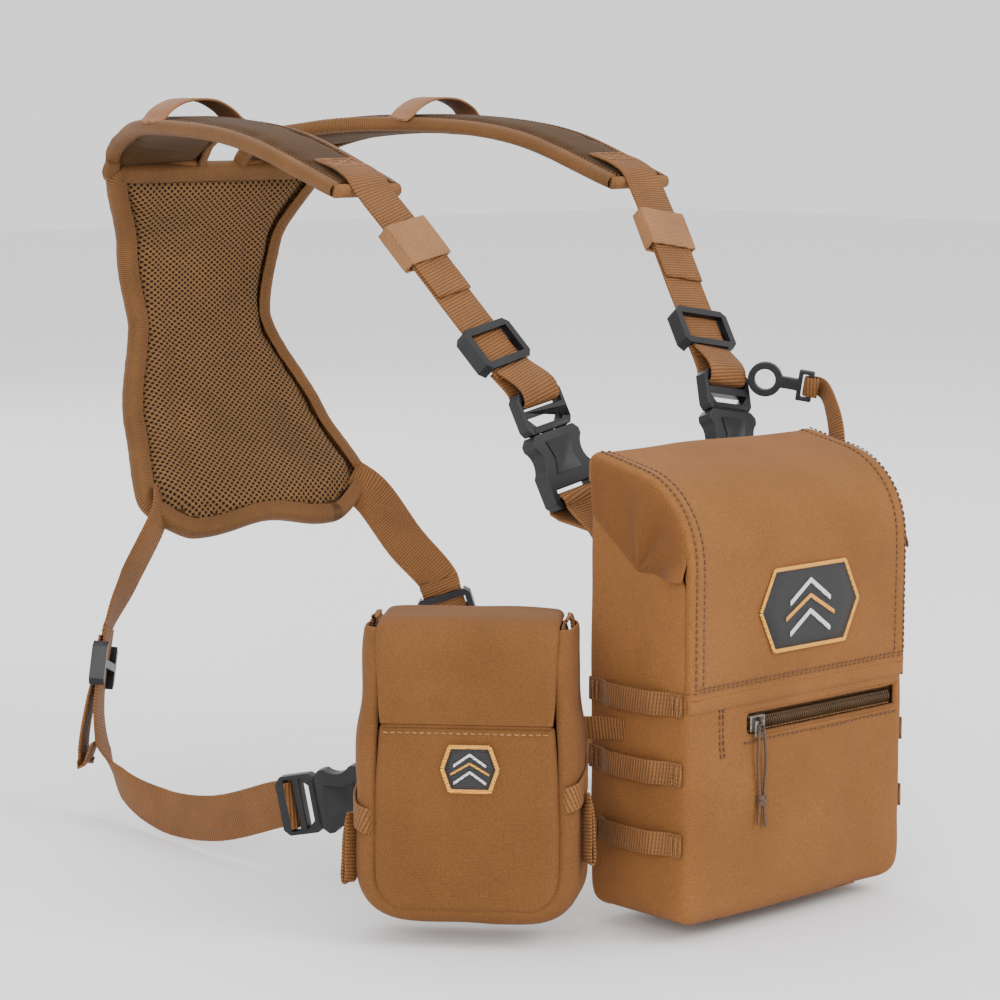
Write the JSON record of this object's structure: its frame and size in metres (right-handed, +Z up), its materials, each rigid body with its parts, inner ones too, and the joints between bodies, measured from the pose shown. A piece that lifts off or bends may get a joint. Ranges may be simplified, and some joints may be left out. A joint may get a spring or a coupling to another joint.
{
  "type": "binocular harness pack",
  "caption": "Chest-worn binocular pack with forward-opening lid, front zip pocket, side rangefinder pouch and a padded webbing shoulder harness with side-release buckles.",
  "frame": {"origin": "middle of the chest pad's flat face, where the pack rests on the wearer's chest", "axes": "+X is the wearer's left, +Y points at the wearer's chest, out of the chest pad, +Z is up"},
  "size_m": [0.3347, 0.493, 0.3913],
  "materials": {
    "pack_fabric": "coyote brown softshell face with fine weave",
    "lining_fabric": "plain woven lining",
    "pouch_fabric": "coyote brown softshell",
    "zip_tape": "woven tape",
    "zip_coil": "nylon coil",
    "zip_metal": "dark enamel",
    "cord": "braided cord",
    "magnet": "nickel plated",
    "webbing": "woven nylon webbing",
    "badge": "black embroidered twill with a gold merrowed edge",
    "yoke_fabric": "plain woven nylon",
    "spacer_mesh": "air mesh with hexagonal holes",
    "foam": "closed-cell foam",
    "edge_binding": "grosgrain binding",
    "keeper_strap": "smooth tan strap",
    "elastic": "tan elastic",
    "black_plastic": "moulded acetal"
  },
  "bodies": {
    "harness": {"back_panel": "pack_fabric", "base_panel": "pack_fabric", "front_pocket_panel": "pack_fabric", "side_panel_left": "pack_fabric", "side_panel_right": "pack_fabric", "front_hem": "pack_fabric", "chest_pad": "pack_fabric", "front_wall": "lining_fabric", "rf_back_panel": "pouch_fabric", "rf_front_panel": "pouch_fabric", "rf_gusset": "pouch_fabric", "zipper_tape": "zip_tape", "zipper_coil": "zip_coil", "back_magnets": "magnet", "side_loops": "webbing", "base_webbing": "webbing", "rf_tabs": "webbing", "upper_tab_left": "webbing", "upper_tab_right": "webbing", "lower_tabs": "webbing", "lower_strap_left": "webbing", "lower_strap_right": "webbing", "lower_loop_left": "webbing", "lower_loop_right": "webbing", "shoulder_webbing_left": "webbing", "shoulder_webbing_right": "webbing", "tether_strap": "webbing", "rf_badge": "badge", "yoke_shell": "yoke_fabric", "shoulder_pad_left": "yoke_fabric", "shoulder_pad_right": "yoke_fabric", "yoke_mesh": "spacer_mesh", "yoke_foam": "foam", "yoke_binding": "edge_binding", "keeper_loops": "keeper_strap", "shoulder_plug_left": "black_plastic", "shoulder_plug_right": "black_plastic", "lower_socket_left": "black_plastic", "lower_socket_right": "black_plastic", "tether_hook": "black_plastic"},
    "lid": {"lid_panel": "pack_fabric", "lid_magnets": "magnet", "lid_binding": "pack_fabric", "lid_wings": "pack_fabric", "lid_badge": "badge"},
    "zip_slider": {"zipper_slider": "zip_metal"},
    "zip_pull": {"pull_cord_a": "cord", "pull_cord_b": "cord", "pull_knot": "cord"},
    "rf_lid": {"rf_lid": "pouch_fabric"},
    "socket_left": {"shoulder_socket_left": "black_plastic"},
    "socket_right": {"shoulder_socket_right": "black_plastic"},
    "plug_left": {"lower_plug_left": "black_plastic"},
    "plug_right": {"lower_plug_right": "black_plastic"},
    "triglide_left": {"triglide_left": "black_plastic"},
    "triglide_right": {"triglide_right": "black_plastic"},
    "keeper_left": {"elastic_keeper_left": "elastic"},
    "keeper_right": {"elastic_keeper_right": "elastic"},
    "slider_left": {"lower_slider_left": "black_plastic"},
    "slider_right": {"lower_slider_right": "black_plastic"}
  },
  "joints": [
    {"name": "lid_open", "type": "hinge", "parent": "harness", "child": "lid", "pos_m": [0, -0.0747, 0.021], "axis": [1, 0, 0], "range_deg": [0, 140]},
    {"name": "zip_slide", "type": "slide", "parent": "harness", "child": "zip_slider", "axis": [1, 0, 0], "range_m": [0, 0.094]},
    {"name": "pull_swing", "type": "hinge", "parent": "zip_slider", "child": "zip_pull", "pos_m": [-0.031, -0.0772, 0.003], "axis": [0, 1, 0], "range_deg": [-60, 60]},
    {"name": "rf_lid_open", "type": "hinge", "parent": "harness", "child": "rf_lid", "pos_m": [-0.15551, -0.00621, 0.01], "axis": [0.6717, -0.7408, 0], "range_deg": [0, 120]},
    {"name": "shoulder_release_left", "type": "slide", "parent": "harness", "child": "socket_left", "axis": [-0.1729, -0.3458, -0.9222], "range_m": [0, 0.024], "deforming": ["upper_tab_left"]},
    {"name": "lower_release_left", "type": "slide", "parent": "harness", "child": "plug_left", "axis": [0.4977, 0.8461, -0.1908], "range_m": [0, 0.024], "deforming": ["lower_loop_left"]},
    {"name": "strap_adjust_left", "type": "slide", "parent": "harness", "child": "triglide_left", "axis": [-0.2149, -0.6348, -0.7422], "range_m": [-0.018, 0]},
    {"name": "keeper_slide_left", "type": "slide", "parent": "harness", "child": "keeper_left", "axis": [-0.2149, -0.6348, -0.7422], "range_m": [-0.005, 0.02]},
    {"name": "side_adjust_left", "type": "slide", "parent": "harness", "child": "slider_left", "axis": [0.2624, -0.1431, -0.9543], "range_m": [-0.005, 0.007]},
    {"name": "shoulder_release_right", "type": "slide", "parent": "harness", "child": "socket_right", "axis": [0.1729, -0.3458, -0.9222], "range_m": [0, 0.024], "deforming": ["upper_tab_right"]},
    {"name": "lower_release_right", "type": "slide", "parent": "harness", "child": "plug_right", "axis": [-0.4977, 0.8461, -0.1908], "range_m": [0, 0.024], "deforming": ["lower_loop_right"]},
    {"name": "strap_adjust_right", "type": "slide", "parent": "harness", "child": "triglide_right", "axis": [0.2149, -0.6348, -0.7422], "range_m": [-0.018, 0]},
    {"name": "keeper_slide_right", "type": "slide", "parent": "harness", "child": "keeper_right", "axis": [0.2149, -0.6348, -0.7422], "range_m": [-0.005, 0.02]},
    {"name": "side_adjust_right", "type": "slide", "parent": "harness", "child": "slider_right", "axis": [-0.2624, -0.1431, -0.9543], "range_m": [-0.005, 0.007]}
  ]
}
